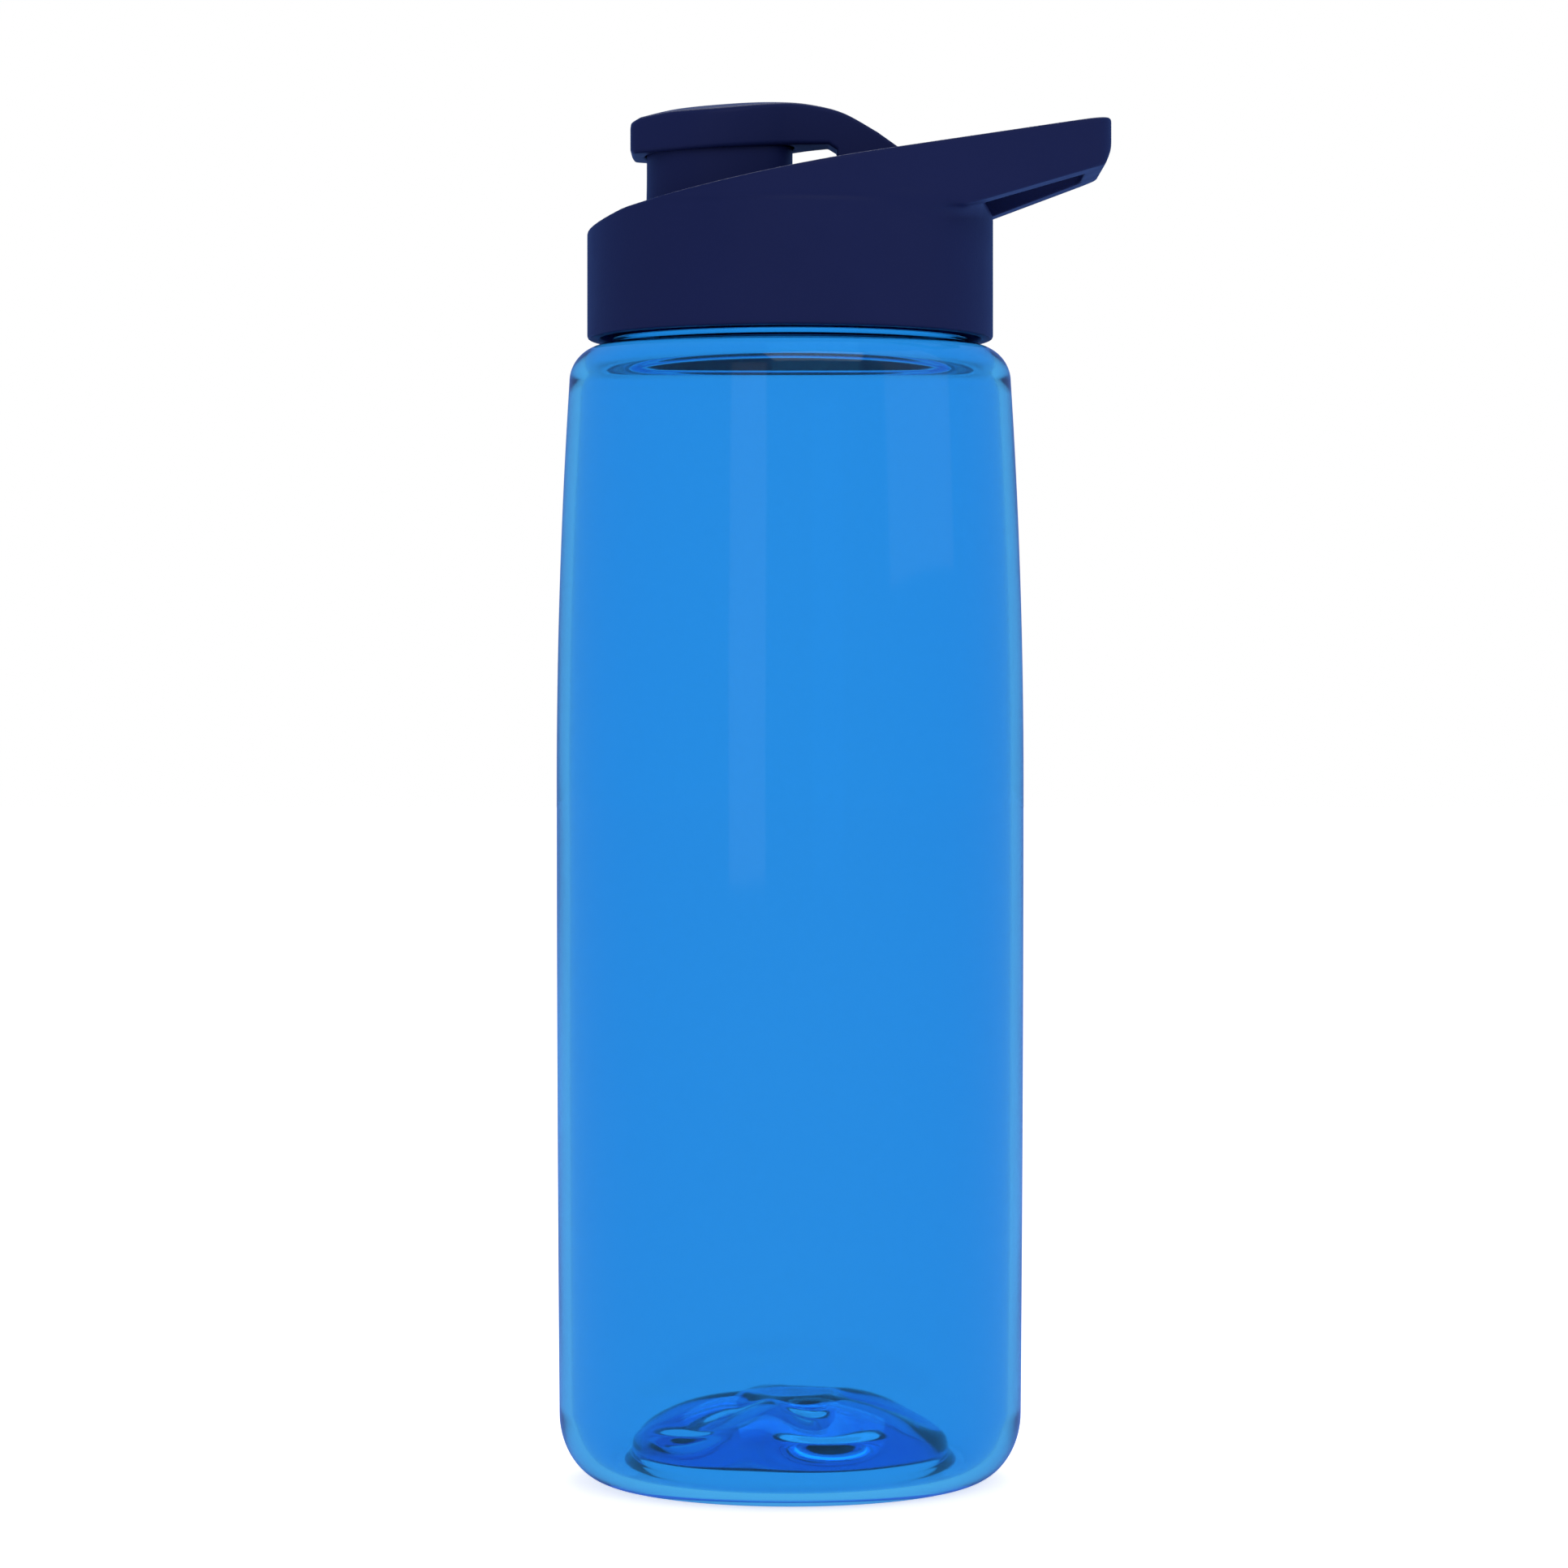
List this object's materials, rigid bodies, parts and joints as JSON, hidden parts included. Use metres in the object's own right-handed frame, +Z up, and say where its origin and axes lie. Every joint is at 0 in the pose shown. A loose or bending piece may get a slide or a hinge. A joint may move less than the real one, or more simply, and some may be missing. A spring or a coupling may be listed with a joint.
{
  "type": "sports water bottle",
  "caption": "Clear wide-mouth sports bottle with a screw lid, a sloping deck with a carry loop, and a flip cap over a drinking spout.",
  "frame": {"origin": "on the surface that the bottle stands on, at the bottom centre of the whole object's box; the bottle's own axis is vertical at x = -6.91 mm, because the carry loop reaches past the body on +X", "axes": "+Z up along the bottle, +X towards the carry loop, +Y across the mirror plane of the lid"},
  "size_m": [0.09, 0.0762, 0.2242],
  "materials": {
    "clear_body": "clear blue moulded plastic, glossy",
    "lid_plastic": "satin navy moulded plastic",
    "silicone": "soft navy silicone",
    "pin_steel": "plain drawn steel"
  },
  "bodies": {
    "bottle": {"bottle_body": "clear_body"},
    "seal": {"neck_gasket": "silicone"},
    "lid": {"screw_lid": "lid_plastic", "drink_spout": "lid_plastic", "hinge_pin": "pin_steel"},
    "cap": {"flip_cap": "lid_plastic", "cap_plug": "silicone"}
  },
  "joints": [
    {"name": "lid_lift", "type": "slide", "parent": "bottle", "child": "seal", "axis": [0, 0, 1], "range_m": [0, 0.005]},
    {"name": "lid_turn", "type": "hinge", "parent": "seal", "child": "lid", "pos_m": [-0.00691, 0, 0.2], "axis": [0, 0, 1], "range_deg": [0, 450]},
    {"name": "cap_hinge", "type": "hinge", "parent": "lid", "child": "cap", "pos_m": [0.01019, 0, 0.2136], "axis": [0, 1, 0], "range_deg": [0, 115]}
  ],
  "couplings": [
    {"joint": "lid_lift", "follows": "lid_turn", "m_per_rad": 0.0006366}
  ]
}
